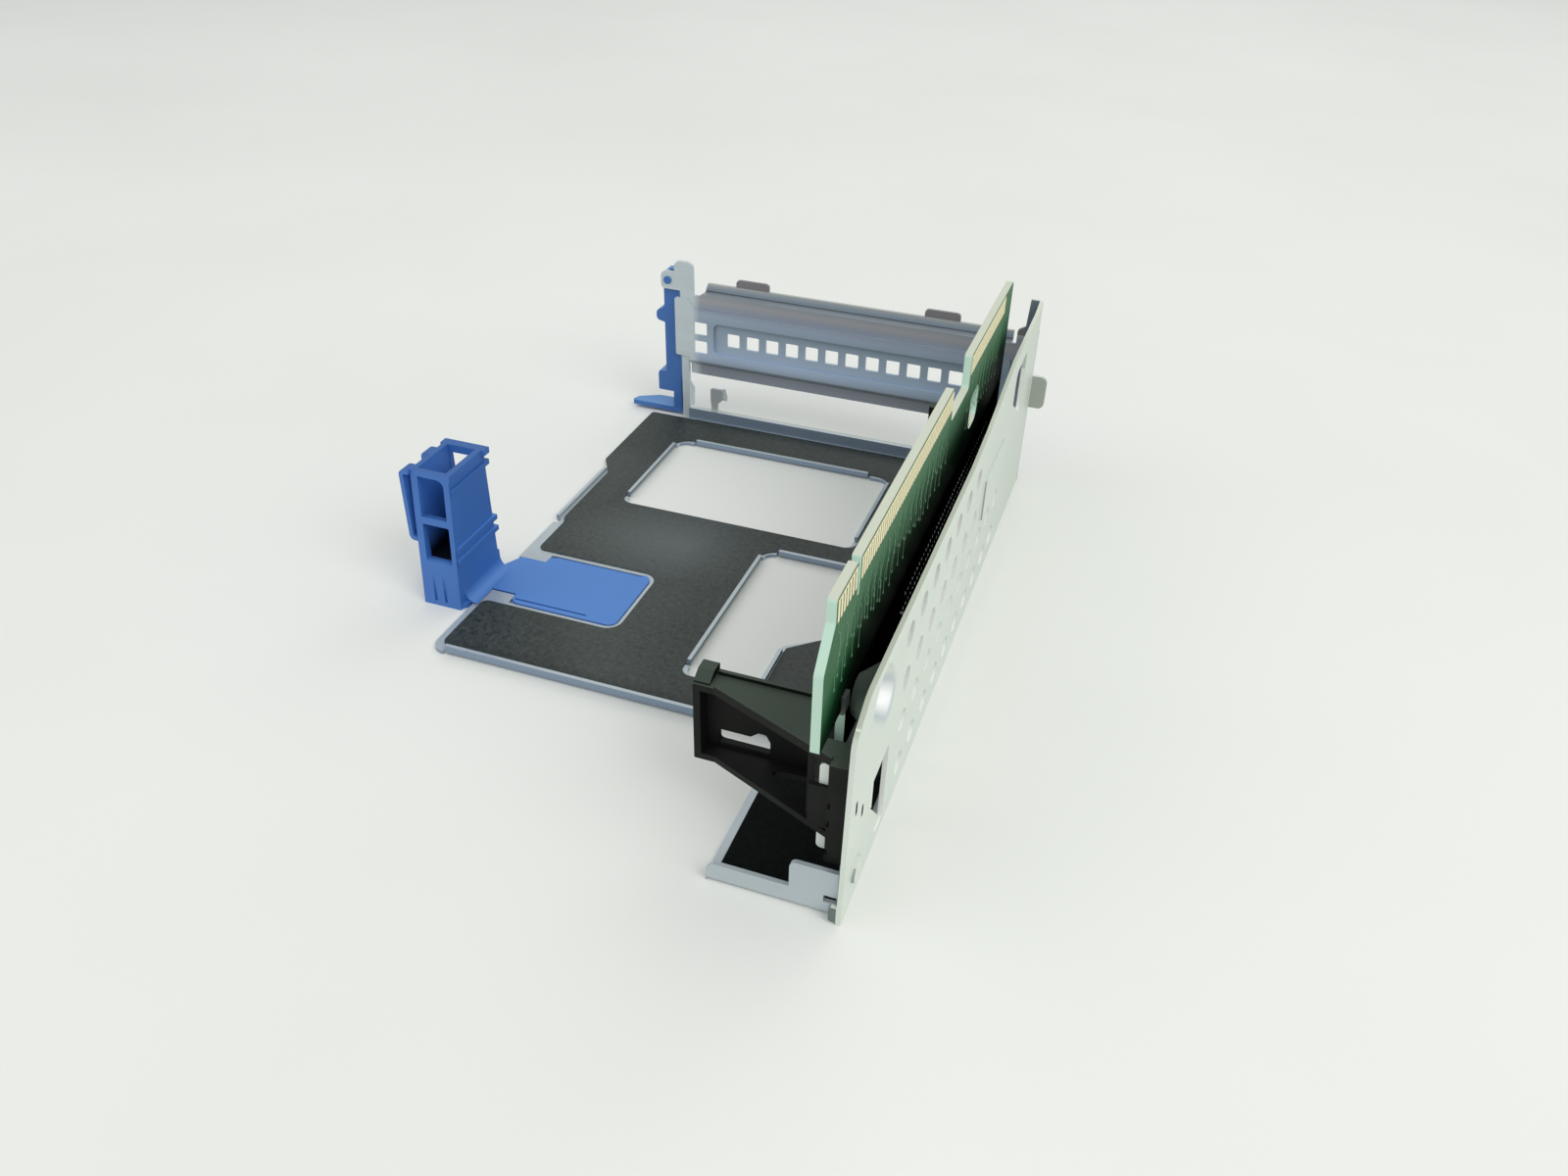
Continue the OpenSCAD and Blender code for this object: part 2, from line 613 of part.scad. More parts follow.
module touch_tower() {
    t = tower_t;
    color("royalblue") {
        difference() {
            union() {
                tower_band(0, tower_h, tower_x0, tower_x1, 0, 0);
                // ribs run round the right side and past the back
                for (z = [13.2, 16.6, 33.6])
                    tower_band(z, z + 1.4, tower_x0 + 2, tower_x1 + 0.6, 0.6, -1.2);
                tower_band(tower_h - 1.6, tower_h, tower_x0, tower_x1 + 0.3, 0, -1.2);
                // rear rim, wider than the tower
                tower_band(tower_h - 1.6, tower_h, tower_x0 - 0.8, tower_x1 + 1.1, 15, -1.2);
            }
            tower_band(12.4, tower_h + 0.1, tower_x0 + t, tower_x1 - t, t, t);
            // two windows in the front, one in the back
            plate_xz(rounded([
                [tower_x0 + 1.9, 25.8], [tower_x1 - 1.6, 25.8], [tower_x1 - 1.6, 37, 2], [tower_x0 + 1.9, 37]
            ]), yf + 16, 8);
            plate_xz(box_pts(tower_x0 + 2, 13, tower_x1 - 1.3, 23.8, 0.4), yf + 16, 8);
            plate_xz(box_pts(tower_x0 + 1.7, 29.6, tower_x1 - 1.8, 36.4, 0.6), yf + 34, 8);
            // grooves down the solid foot
            for (x = [tower_x0 + 3.2, tower_x0 + 6.2])
                plate_xz(box_pts(x, 1.2, x + 0.8, 10.8, 0.3), yf + 16, 2.4);
        }
        tower_loop(yf + 19.6, yf + 23.4);
        tower_loop(yf + 29.5, yf + 33);
        // web through the mouth of the slot and the tongue in it
        plate_xy(rounded([
            [tower_x1 - eps, yf + 18.4], [xl - 0.8, yf + 19.8, 1], [xl - 0.3, neck_y0 - 1.2, 0.3],
            [xl - 0.2, neck_y0 + 0.3], [tab_x + 1, neck_y0 + 0.3], [tab_x + 1, neck_y1 - 0.3],
            [tower_x1 + 3, neck_y1 - 0.3, 2], [tower_x1 - eps, yf + 38.6]
        ]), 0, film_top);
        difference() {
            plate_xy(box_pts(tab_x + fit, slot_y0 + fit, slot_x1 - fit, slot_y1 - fit, 2.4), 0, film_top);
            // groove along the front, lower step along the rear
            block([tab_x + 1, slot_y0 + 1.6, film_top - 0.5], [slot_x1 - 9, slot_y0 + 2.1, film_top + 1]);
            block([tab_x - 1, slot_y1 - 1.6, film_top - 0.5], [slot_x1 - 3, slot_y1 + 1, film_top + 1]);
        }
        // hollow fillet where the web meets the tower
        plate_xz(rounded([
            [tower_x1 - 1, film_top - eps], [tower_x1 + 3.4, film_top - eps], [tower_x1 + 3.4, film_top + 0.05],
            [tower_x1 - eps, film_top + 0.05, 3.2], [tower_x1 - eps, film_top + 5.5], [tower_x1 - 1, film_top + 5.5]
        ]), yf + 20.4, 18);
    }
}

// ---- riser board -------------------------------------------------------------------------

board_pts = rounded([
    [board_front, board_low, 0.4], [board_step, board_low, 0.5], [board_step, 32.7, 1], [board_rear, 32.7, 1],
    [board_rear, board_top, 1.2], [gap_b[1], board_top, 0.8], [gap_b[1], finger_z0 - 3.2, 1],
    [gap_b[0], finger_z0 - 3.2, 1], [gap_b[0], board_top, 0.8], [key[1], board_top, 0.5],
    [key[1], finger_z0 - 2.3, 0.8], [key[0], finger_z0 - 2.3, 0.8], [key[0], board_top, 0.5],
    [yt + 1.7, board_top, 0.8], [yt + 1.7, finger_z0 + 0.4, 1], [board_front, board_top - 11.9, 2]
]);

module riser_board() {
    color("seagreen")
        difference() {
            plate_yz(board_pts, board_x0, board_t);
            rod_x(board_x0 - 1, board_x1 + 1, boss_y, boss_z, screw_r + fit);
            plate_yz(box_pts(gap_b[1] + 5.3, 51.6, gap_b[1] + 15, 61.3, 3), board_x0 - 1, board_t + 2);
        }
}

// a comb of contacts from y0 to y1, on the face that starts at x
module contact_comb(y0, y1, x) {
    n = floor((y1 - y0) / 1.5);
    plate_yz(concat(
        [[y0, board_top - 0.9], [y0, board_top - 0.6], [y1, board_top - 0.6], [y1, board_top - 0.9]],
        [for (i = [n - 1:-1:0])
            let (a = y0 + i * (y1 - y0 - 0.9) / (n - 1))
                each [[a + 0.9, board_top - 0.9], [a + 0.9, finger_z0], [a, finger_z0], [a, board_top - 0.9]]]
    ), x, 0.08);
}

module edge_contacts() {
    color("gold")
        for (x = [board_x0 - 0.08, board_x1]) {
            contact_comb(yt + 2.5, key[0] - 0.6, x);
            contact_comb(key[1] + 0.6, gap_b[0] - 0.6, x);
            contact_comb(gap_b[1] + 0.6, board_rear - 10.4, x);
        }
}

// ---- card connector ----------------------------------------------------------------------

module card_connector() {
    z0 = slot_z - slot_w / 2;
    color([0.13, 0.13, 0.13])
        difference() {
            union() {
                block([board_x0 - slot_h, slot_y - slot_l, z0], [board_x0, slot_y, z0 + slot_w]);
                // card retainer at the far end
                block([board_x0 - slot_h - 2, slot_y, slot_z - 2.6], [board_x0, slot_y + 3, slot_z + 2.6]);
            }
            // mouth, interrupted by the key
            block([board_x0 - slot_h - 3, slot_y - slot_l + 2, slot_z - 0.9],
                [board_x0 - slot_h + 8, slot_y - slot_l + 73.9, slot_z + 0.9]);
            block([board_x0 - slot_h - 3, slot_y - slot_l + 75.5, slot_z - 0.9],
                [board_x0 - slot_h + 8, slot_y - 1.6, slot_z + 0.9]);
            // slots down both long sides
            for (s = [-1, 1])
                for (i = [0:10])
                    block([board_x0 - slot_h + 1.6, slot_y - slot_l + 5 + i * 7.4, slot_z + s * slot_w / 2 - 0.3],
                        [board_x0 - 2.4, slot_y - slot_l + 10 + i * 7.4, slot_z + s * slot_w / 2 + 0.3]);
        }
}

module connector_contacts() {
    color("gold")
        for (s = [-1, 1])
            for (i = [0:33])
                translate([board_x0 - slot_h + 0.6, slot_y - slot_l + 3.2 + i * 2, s > 0 ? slot_z + 0.6 : slot_z - 0.9])
                    cube([7.3, 0.7, 0.3]);
}

module solder_joints() {
    color("silver")
        for (r = [-1, 1])
            for (i = [0:42])
                translate([board_x1, slot_y - slot_l + 2.6 + i * 2 + (r > 0 ? 1 : 0) - 0.2, slot_z + r * 1.6])
                    rotate([0, 90, 0])
                        cylinder(r = 0.42, h = 0.9, $fn = 8);
}

module connector_pegs() {
    color("silver")
        for (p = [[-133.8, 37.2], [-132.4, 36.2], [-131, 35.2]])
            rod_x(board_x1, board_x1 + 3.6, p[0], p[1], 0.3);
}

// ---- card guide --------------------------------------------------------------------------

guide_floor = rounded([
    [-37.3, guide_y0, 0.6], [-32.8, guide_y0, 0.5], [leg_x0 + eps, flange_y - 1.2], [leg_x0 + eps, flange_y],
    [flange_x0 - 0.2, flange_y], [guide_x1, flange_y + 1.6], [guide_x1, guide_y1], [-37.3, guide_y1]
]);
guide_roof = rounded([
    [-37.3, guide_y0, 0.6], [-32.8, guide_y0, 0.5], [leg_x0 + eps, flange_y - 0.6],
    [leg_x0 + eps, guide_y1 - 10.9], [guide_x1, guide_y1 - 10.9], [guide_x1, guide_y1], [-37.3, guide_y1]
]);

module card_guide() {
    t = guide_t;
    color([0.16, 0.16, 0.16]) {
        difference() {
            union() {
                plate_xy(guide_roof, guide_top - t, t);
                plate_xy(guide_floor, guide_bottom, t);
                block([-37.3, guide_y1 - t, guide_bottom], [guide_x1, guide_y1, guide_top]);
                block([-37.3, guide_y0, guide_bottom], [-37.3 + t, guide_y1, guide_top]);
                block([guide_x1 - t, flange_y + 1.8, guide_bottom], [guide_x1, guide_y1, guide_top]);
            }
            // slot in the back, flared at its inner end
            plate_xz(rounded([
                [-33.4, 20.4, 0.8], [-22.2, 20.4, 0.5], [-22.2, 23.4, 0.5], [-23.2, 25.2, 0.6],
                [-24.8, 25.2, 0.6], [-26.4, 23.8, 0.8], [-33.4, 23.8, 0.8]
            ]), guide_y1 - t - 1, t + 2);
            // cut-out in the floor
            plate_xy(rounded([
                [-21.4, yt + 15.2, 0.8], [-11.6, yt + 15.8, 0.8], [-11.2, yt + 9.8, 0.8], [-16.2, yt + 10.1, 0.8]
            ]), guide_bottom - 1, t + 1.5);
        }
        // raised rim along the back of the roof and the post at its end
        block([-33.6, guide_y1 - 0.9, guide_top - eps], [guide_x1 - 1.5, guide_y1, guide_top + 0.8]);
        plate_yz(rounded([
            [yt + 15.2, guide_top - 1], [guide_y1 + 0.8, guide_top - 1], [guide_y1 + 0.8, guide_top + 1.8, 0.4],
            [yt + 17.8, guide_top + 1.8, 0.6], [yt + 15.2, guide_top + 0.4]
        ]), -37.3, 3.4);
        // rib along the roof's slanting edge
        plate_xy([[-32.8, guide_y0], [-32.3, guide_y0 + 0.7], [leg_x0, flange_y + 0.2], [leg_x0, flange_y - 0.6]],
            guide_top - eps, 0.5);
        // cap over the wall's flange, and the leg in front of it
        block([leg_x0, flange_y - 2, guide_top - t], [wall_in - fit, guide_y1 - 10.9, guide_top]);
        difference() {
            block([leg_x0, flange_y - 2, 12.6], [wall_in - fit, flange_y, guide_top]);
            for (z = [14.2, 21.8, 26.4])
                block([leg_x0 - 1, flange_y - 3, z], [leg_x0 + 0.6, flange_y + 1, z + 1.6]);
        }
        // clip beside the leg
        block([guide_x1 - 0.4, flange_y - 0.9, 20.2], [leg_x0 + eps, flange_y, 30.6]);
    }
}

// ---- fasteners and small parts -----------------------------------------------------------

module board_screws() {
    x0 = wall_in - board_gap + sheet_t;
    color("silver")
        difference() {
            union() {
                rod_x(board_x0 - 2.9, x0 + 0.5, boss_y, boss_z, screw_r);
                rod_x(x0, x0 + 1.8, boss_y, boss_z, 2.7);
            }
            for (a = [0, 90])
                translate([x0 + 2, boss_y, boss_z])
                    rotate([a, 0, 0])
                        cube([2, 3, 0.7], center = true);
        }
}

module board_nuts() {
    color("silver")
        difference() {
            translate([board_x0 - 2.3, boss_y, boss_z])
                rotate([0, 90, 0])
                    cylinder(r = 3.1, h = 2.3, $fn = 6);
            rod_x(board_x0 - 3, board_x0 + 1, boss_y, boss_z, screw_r + 0.05);
        }
}

// bent strip hooked round the lower edge of the board, in front of its step
module board_clip() {
    t = 0.8;
    color("silver")
        plate_xz(rounded([
            [board_x0 - t, board_low - t, 0.5], [board_x1 + t, board_low - t, 0.5],
            [board_x1 + t, board_low + 3.2], [board_x1, board_low + 3.2], [board_x1, board_low],
            [board_x0, board_low], [board_x0, board_low + 3.2], [board_x0 - t, board_low + 3.2]
        ]), yt + 8.4, 2.8);
}

module bypass_capacitors() {
    color([0.66, 0.58, 0.46])
        for (y = [-158, -126, -114, -58, -46])
            block([board_x0 - 1, y - 1, 54], [board_x0, y + 1, 55.2]);
}

// ---- assembly ----------------------------------------------------------------------------

base_plate();
insulator_film();
side_wall();
wall_rivet();
rear_frame();
slot_filler();
card_latch();
touch_tower();
riser_board();
edge_contacts();
card_connector();
connector_contacts();
solder_joints();
connector_pegs();
card_guide();
board_screws();
board_nuts();
board_clip();
bypass_capacitors();
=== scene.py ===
"""Looks for the riser cage bracket: materials, small modelled detail, light and camera."""

import math

import bmesh
import bpy
from mathutils import Matrix, Vector


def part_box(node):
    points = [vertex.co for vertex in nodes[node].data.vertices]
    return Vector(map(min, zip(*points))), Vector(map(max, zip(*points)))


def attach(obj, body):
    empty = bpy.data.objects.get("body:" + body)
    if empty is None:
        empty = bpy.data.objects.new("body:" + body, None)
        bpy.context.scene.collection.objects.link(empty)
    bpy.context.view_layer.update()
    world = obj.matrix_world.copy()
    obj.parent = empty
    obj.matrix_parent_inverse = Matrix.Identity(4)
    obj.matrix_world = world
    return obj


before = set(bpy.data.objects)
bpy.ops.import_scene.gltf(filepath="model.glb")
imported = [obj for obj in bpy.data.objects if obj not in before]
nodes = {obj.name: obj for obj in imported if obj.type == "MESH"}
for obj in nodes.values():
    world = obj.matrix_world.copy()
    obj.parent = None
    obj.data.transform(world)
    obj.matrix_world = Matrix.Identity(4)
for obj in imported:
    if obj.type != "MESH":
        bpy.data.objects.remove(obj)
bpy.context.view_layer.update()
scene = bpy.context.scene


# ---- material helper ---------------------------------------------------------------------


class Mat:
    """A principled material with a few short ways to add procedural detail."""

    def __init__(self, name):
        self.mat = bpy.data.materials.new(name)
        self.mat.use_nodes = True
        self.tree = self.mat.node_tree
        self.bsdf = self.tree.nodes["Principled BSDF"]
        self.coord = self.node("ShaderNodeTexCoord").outputs["Object"]

    def node(self, kind, **values):
        """A new node of one kind, with its settings."""
        n = self.tree.nodes.new(kind)
        for key, value in values.items():
            setattr(n, key, value)
        return n

    def link(self, a, b):
        self.tree.links.new(a, b)

    def stretched(self, scale):
        """Object coordinates, in metres, scaled along each axis."""
        m = self.node("ShaderNodeMapping")
        m.inputs["Scale"].default_value = scale
        self.link(self.coord, m.inputs["Vector"])
        return m.outputs["Vector"]

    def distance(self, point, stretch):
        """How far the surface is from a point, both stretched by the same scale."""
        n = self.node("ShaderNodeVectorMath", operation="DISTANCE")
        self.link(self.stretched(stretch), n.inputs[0])
        n.inputs[1].default_value = point
        return n.outputs["Value"]

    def noise(self, scale, detail=4.0, rough=0.55, stretch=None):
        n = self.node("ShaderNodeTexNoise")
        n.inputs["Scale"].default_value = scale
        n.inputs["Detail"].default_value = detail
        n.inputs["Roughness"].default_value = rough
        self.link(self.stretched(stretch) if stretch else self.coord, n.inputs["Vector"])
        return n.outputs["Fac"]

    def cells(self, scale):
        """Flat cells, each of its own grey, like the crystals of a zinc coat."""
        n = self.node("ShaderNodeTexVoronoi")
        n.inputs["Scale"].default_value = scale
        self.link(self.coord, n.inputs["Vector"])
        grey = self.node("ShaderNodeRGBToBW")
        self.link(n.outputs["Color"], grey.inputs[0])
        return grey.outputs[0]

    def axis(self, name):
        """The place along one axis, in metres."""
        s = self.node("ShaderNodeSeparateXYZ")
        self.link(self.coord, s.inputs[0])
        return s.outputs[name]

    def side(self, name):
        """The surface normal along one axis, in the object's own space."""
        g = self.node("ShaderNodeTexCoord")
        s = self.node("ShaderNodeSeparateXYZ")
        self.link(g.outputs["Normal"], s.inputs[0])
        return s.outputs[name]

    def math(self, op, a, b=None, clamp=False):
        """A math node on sockets or plain numbers."""
        n = self.node("ShaderNodeMath", operation=op, use_clamp=clamp)
        for i, v in enumerate((a, b)):
            if v is None:
                continue
            if isinstance(v, (int, float)):
                n.inputs[i].default_value = v
            else:
                self.link(v, n.inputs[i])
        return n.outputs[0]

    def ramp(self, fac, stops):
        """A colour ramp through (place, colour) stops."""
        n = self.node("ShaderNodeValToRGB")
        el = n.color_ramp.elements
        while len(el) < len(stops):
            el.new(0.5)
        for e, (pos, col) in zip(el, stops):
            e.position = pos
            e.color = (*col, 1)
        self.link(fac, n.inputs[0])
        return n.outputs[0]

    def mix(self, fac, a, b):
        """Colour a where the factor is 0, colour b where it is 1."""
        n = self.node("ShaderNodeMix", data_type="RGBA")
        for socket, v in ((n.inputs["Factor"], fac), (n.inputs[6], a), (n.inputs[7], b)):
            if isinstance(v, (int, float)):
                socket.default_value = v
            elif isinstance(v, tuple):
                socket.default_value = (*v, 1)
            else:
                self.link(v, socket)
        return n.outputs[2]

    def above(self, value, limit):
        return self.math("GREATER_THAN", value, limit)

    def below(self, value, limit):
        return self.math("LESS_THAN", value, limit)

    def near(self, value, centre, reach):
        """1 where the value is less than reach from the centre."""
        return self.below(self.math("ABSOLUTE", self.math("SUBTRACT", value, centre)), reach)

    def both(self, a, b, clamp=False):
        """1 where both are 1."""
        return self.math("MULTIPLY", a, b, clamp)

    def band(self, value, start, stop):
        """0 where the value is at start, 1 at stop, and straight between them."""
        return self.math("DIVIDE", self.math("SUBTRACT", value, start), stop - start, clamp=True)

    def spread(self, socket, fac, low, high):
        """Drives one socket of the material from low to high."""
        n = self.node("ShaderNodeMapRange")
        n.inputs["To Min"].default_value = low
        n.inputs["To Max"].default_value = high
        self.link(fac, n.inputs["Value"])
        self.link(n.outputs[0], self.bsdf.inputs[socket])
        return self

    def shine(self, fac, low, high):
        return self.spread("Specular IOR Level", fac, low, high)

    def rough(self, fac, low, high):
        return self.spread("Roughness", fac, low, high)

    def set(self, **values):
        for key, value in values.items():
            self.bsdf.inputs[key.replace("_", " ")].default_value = value
        return self

    def colour(self, socket):
        self.link(socket, self.bsdf.inputs["Base Color"])
        return self

    def bump(self, height, strength, distance=0.0002):
        n = self.node("ShaderNodeBump")
        n.inputs["Strength"].default_value = strength
        n.inputs["Distance"].default_value = distance
        self.link(height, n.inputs["Height"])
        self.link(n.outputs[0], self.bsdf.inputs["Normal"])
        return self

    def grain(self):
        """The fine grain of a moulded or plated surface."""
        return self.bump(self.noise(2200, 2), 0.12, 0.0001)


# ---- places on the part, in metres -------------------------------------------------------

# A pair of numbers is where a change of colour starts and where it is complete.

# side wall: its middle plane in X, half its thickness with a little over and a little under,
# and the X just off its outer face
SHEET_MIDDLE = -0.0005
HALF_OVER = 0.00055
HALF_UNDER = 0.00045
OFF_OUTSIDE = 0.0002
# side wall: a Y a little behind its front edge, the height that parts its vents from its top
# edge, the height over which upward faces are that edge, and the change of tone to the rear
WALL_FRONT = -0.184
VENTS_BELOW = 0.047
TOP_EDGE_ABOVE = 0.045
WALL_TO_REAR = (-0.11, 0)
# side wall: heights where the painted shade on its turned flanges changes, near the foot and near
# the top
FLANGE_FOOT = (0.006, 0.01)
FLANGE_TOP = (0.042, 0.046)
# side wall: the dimple and the place on it with a painted glint, as (y, z), with the reach
# of the dimple and of the glint's outer and inner ring: painted darker ring, white core
DIMPLE = (-0.1674, 0.0411)
DIMPLE_REACH = 0.009
GLINT = (-0.1628, 0.0377)
GLINT_OUTER = (0.006, 0.0038)
GLINT_INNER = (0.0038, 0.001)
# base: X just left of its windows, Z just over its sheet, and a Y on its foot, past its rims
WINDOWS_LEFT = -0.112
SHEET_TOP = 0.0012
ON_FOOT = -0.15
# rear frame: where its left post turns pale, and the height and X past which only lugs lie
POST_PALE = (-0.1075, -0.11)
LUGS_ABOVE = 0.0477
LUGS_RIGHT_OF = -0.1
# tower: middle of its hollow, half the hollow's width and depth with a little over, heights
# where painted shade in the hollow grows dark, and the height that parts the tongue from
# the upper rims
HOLLOW = (-0.12945, -0.1132)
HOLLOW_REACH = (0.0042, 0.007)
HOLLOW_DARK = (0.021, 0.014)
TONGUE_BELOW = 0.02
# film: middle of the painted reflection's palest patch, the patch's reach, the haze's start in
# X, and the painted shade over the foot
PATCH = (-0.05, -0.076, 0)
PATCH_REACH = (0.024, 0)
HAZE_FROM = (-0.056, -0.08)
FOOT_SHADE = (-0.136, -0.147)
# riser board: heights that its green runs over under painted shade, and how far and where it
# rises at the front
GREEN_HEIGHTS = (0.046, 0.07)
GREEN_LIFT = 0.011
GREEN_FRONT = (-0.168, -0.19)
# riser board: Y of the wide gap between the groups of gold contacts
CONTACT_GAP = (-0.1005, -0.0781)
# card guide: a height just under its roof
GUIDE_ROOF = 0.034


# ---- materials ---------------------------------------------------------------------------


# crystals of the zinc coat to a metre
CRYSTALS = 300


def tone(red, green, blue):
    """A colour given as 0 to 255 display values, as the shader wants it."""
    return tuple((v / 255) ** 2.2 for v in (red, green, blue))


def base_metal():
    """The base sheet: crystals, clouds and fine scratches, with painted shade on the windows' side
    rims and on faces that look to the front.
    """
    m = Mat("base_sheet")
    light, dark = tone(198, 207, 212), tone(170, 182, 190)
    cell = m.cells(CRYSTALS)
    scratch = m.noise(60, 6, 0.7, (1, 14, 1))
    cloudy = m.mix(m.noise(30, 4), dark, light)
    sheet = m.mix(m.math("MULTIPLY", cell, 0.35), cloudy, light)
    # painted shade on the windows' side rims, on faces that look to +X
    shaded_side_rim = m.both(m.side("X"), m.above(m.axis("Z"), SHEET_TOP), clamp=True)
    shaded_side_rim = m.both(shaded_side_rim, m.above(m.axis("X"), WINDOWS_LEFT))
    sheet = m.mix(shaded_side_rim, sheet, tone(116, 127, 131))
    # painted shade, bluish grey, on faces that look to the front, away from the foot
    shaded_front_faces = m.both(m.below(m.side("Y"), -0.6), m.above(m.axis("Y"), ON_FOOT))
    m.colour(m.mix(shaded_front_faces, sheet, tone(140, 156, 176))).set(Metallic=0.5)
    m.rough(m.math("MULTIPLY", m.math("ADD", cell, scratch), 0.5), 0.36, 0.52)
    m.bump(m.math("ADD", cell, scratch), 0.05)
    return m.mat


def painted_flange_shade(m, x, z):
    """Painted shade on the front faces of the wall's turned flanges: dark at the foot, pale above,
    greyer off the outer face and bluish grey near the top.
    """
    colour = m.mix(m.band(z, *FLANGE_FOOT), tone(100, 112, 110), tone(226, 232, 226))
    colour = m.mix(m.above(x, OFF_OUTSIDE), colour, tone(160, 164, 156))
    colour = m.mix(m.band(z, *FLANGE_TOP), colour, tone(106, 120, 132))
    off_sheet = m.above(m.math("ABSOLUTE", m.math("SUBTRACT", x, SHEET_MIDDLE)), HALF_OVER)
    off_dimple = m.above(m.distance((0, *DIMPLE), (0, 1, 1)), DIMPLE_REACH)
    place = m.both(m.both(off_sheet, off_dimple), m.below(m.side("Y"), -0.7))
    return place, colour


def wall_vents(m, x, z):
    """The thin cut faces inside the vents, where painted light is laid."""
    is_cut = m.both(m.near(m.side("X"), 0, 0.3), m.near(x, SHEET_MIDDLE, HALF_UNDER))
    return m.both(m.both(is_cut, m.below(z, VENTS_BELOW)), m.above(m.axis("Y"), WALL_FRONT))


def wall_metal():
    """The side wall: pale outside, with painted shade on its inner side and flanges, painted light
    in its vents and a painted glint on its dimple.
    """
    m = Mat("wall_sheet")
    cell = m.cells(CRYSTALS)
    streak = m.noise(26, 5, 0.6, (1, 0.35, 2.4))
    x, z = m.axis("X"), m.axis("Z")
    base = m.mix(streak, tone(204, 213, 203), tone(224, 231, 222))
    base = m.mix(m.math("MULTIPLY", cell, 0.3), base, tone(214, 221, 212))
    to_rear = m.math("MULTIPLY", m.band(m.axis("Y"), *WALL_TO_REAR), 0.5)
    base = m.mix(to_rear, base, tone(182, 192, 182))
    # painted highlight on the dimple: a darker bluish ring round a white core
    away = m.distance((0, *GLINT), (0, 1, 1))
    base = m.mix(m.band(away, *GLINT_OUTER), base, tone(190, 199, 201))
    base = m.mix(m.band(away, *GLINT_INNER), base, (1, 1, 1))
    # painted shade on the front faces of the turned flanges
    flanges, flange_shade_colour = painted_flange_shade(m, x, z)
    base = m.mix(flanges, base, flange_shade_colour)
    top_edge = m.both(m.above(m.side("Z"), 0.7), m.above(z, TOP_EDGE_ABOVE))
    base = m.mix(top_edge, base, tone(204, 210, 194))
    # painted light on the cut faces inside the vents
    base = m.mix(wall_vents(m, x, z), base, tone(248, 250, 244))
    # painted shade on the inner side
    base = m.mix(m.below(m.side("X"), -0.3), base, tone(126, 143, 133))
    m.colour(base).set(Metallic=0.12)
    m.rough(streak, 0.38, 0.52).bump(cell, 0.04)
    return m.mat


# painted sheen and shade of the rear frame and slot filler by height in mm, from the rail up
# to the ear
REAR_BANDS = [
    (0, (108, 114, 120)), (1.3, (124, 120, 118)), (2.2, (160, 147, 135)), (3, (156, 162, 164)),
    (4.2, (198, 204, 202)), (5, (186, 192, 186)), (16, (150, 154, 164)), (19, (140, 145, 155)),
    (21.5, (130, 141, 148)), (23, (161, 179, 201)), (24.5, (176, 196, 221)), (30, (160, 178, 196)),
    (35, (146, 165, 180)), (38, (160, 175, 195)), (41, (150, 157, 170)), (43, (168, 164, 166)),
    (44.6, (150, 156, 160)), (46, (142, 158, 172)), (47, (170, 176, 178)), (48, (198, 196, 184)),
    (60, (190, 194, 184)),
]


def frame_metal():
    """Darker steel of the rear end, with painted sheen by height, a paler post on its left and
    darker lugs on top.
    """
    m = Mat("frame_sheet")
    top = REAR_BANDS[-1][0]
    height = m.band(m.axis("Z"), 0, top / 1000)
    # painted sheen and shade, in bands by height
    sheen = m.ramp(height, [(z / top, tone(*colour)) for z, colour in REAR_BANDS])
    sheen = m.mix(m.band(m.axis("X"), *POST_PALE), sheen, tone(206, 217, 220))
    lugs = m.both(m.above(m.axis("Z"), LUGS_ABOVE), m.above(m.axis("X"), LUGS_RIGHT_OF))
    sheen = m.mix(lugs, sheen, tone(122, 116, 116))
    streak = m.noise(90, 5, 0.6, (0.25, 1, 6))
    sheen = m.mix(m.math("MULTIPLY", streak, 0.35), sheen, tone(150, 158, 172))
    m.colour(sheen).set(Metallic=0.25)
    m.rough(streak, 0.32, 0.48).bump(streak, 0.05)
    return m.mat


def moulded(name, light, dark, rough=(0.35, 0.5), top=None, above=-1, metallic=0, specular=0.5):
    """Moulded or plated stuff. The top is painted light: the colour of upward faces that lie above
    a height.
    """
    m = Mat(name)
    cloud = m.noise(70, 3)
    colour = m.mix(cloud, dark, light)
    if top:
        # painted light on upward faces above the height
        upward = m.both(m.side("Z"), m.above(m.axis("Z"), above), clamp=True)
        colour = m.mix(upward, colour, top)
    m.colour(colour).rough(cloud, *rough).set(Metallic=metallic, Specular_IOR_Level=specular)
    m.grain()
    return m.mat


def tower_moulding():
    """Blue moulding: painted light on the low tongue, painted shade on the upper rims and at the
    bottom of the tower's hollow.
    """
    m = Mat("blue_moulding")
    cloud = m.noise(70, 3)
    z = m.axis("Z")
    colour = m.mix(cloud, tone(56, 104, 180), tone(68, 118, 194))
    # painted light on the tongue's upward faces
    tongue = m.both(m.side("Z"), m.below(z, TONGUE_BELOW), clamp=True)
    colour = m.mix(tongue, colour, tone(80, 131, 205))
    # painted shade on the upper rims' upward faces
    rims = m.both(m.side("Z"), m.above(z, TONGUE_BELOW), clamp=True)
    colour = m.mix(rims, colour, tone(48, 92, 158))
    # painted shade at the bottom of the hollow
    across, along = (m.near(m.axis(a), c, r) for a, c, r in zip("XY", HOLLOW, HOLLOW_REACH))
    shaded = m.both(m.both(across, along), m.band(z, *HOLLOW_DARK))
    m.colour(m.mix(shaded, colour, tone(8, 14, 30))).rough(cloud, 0.42, 0.55)
    m.grain()
    return m.mat


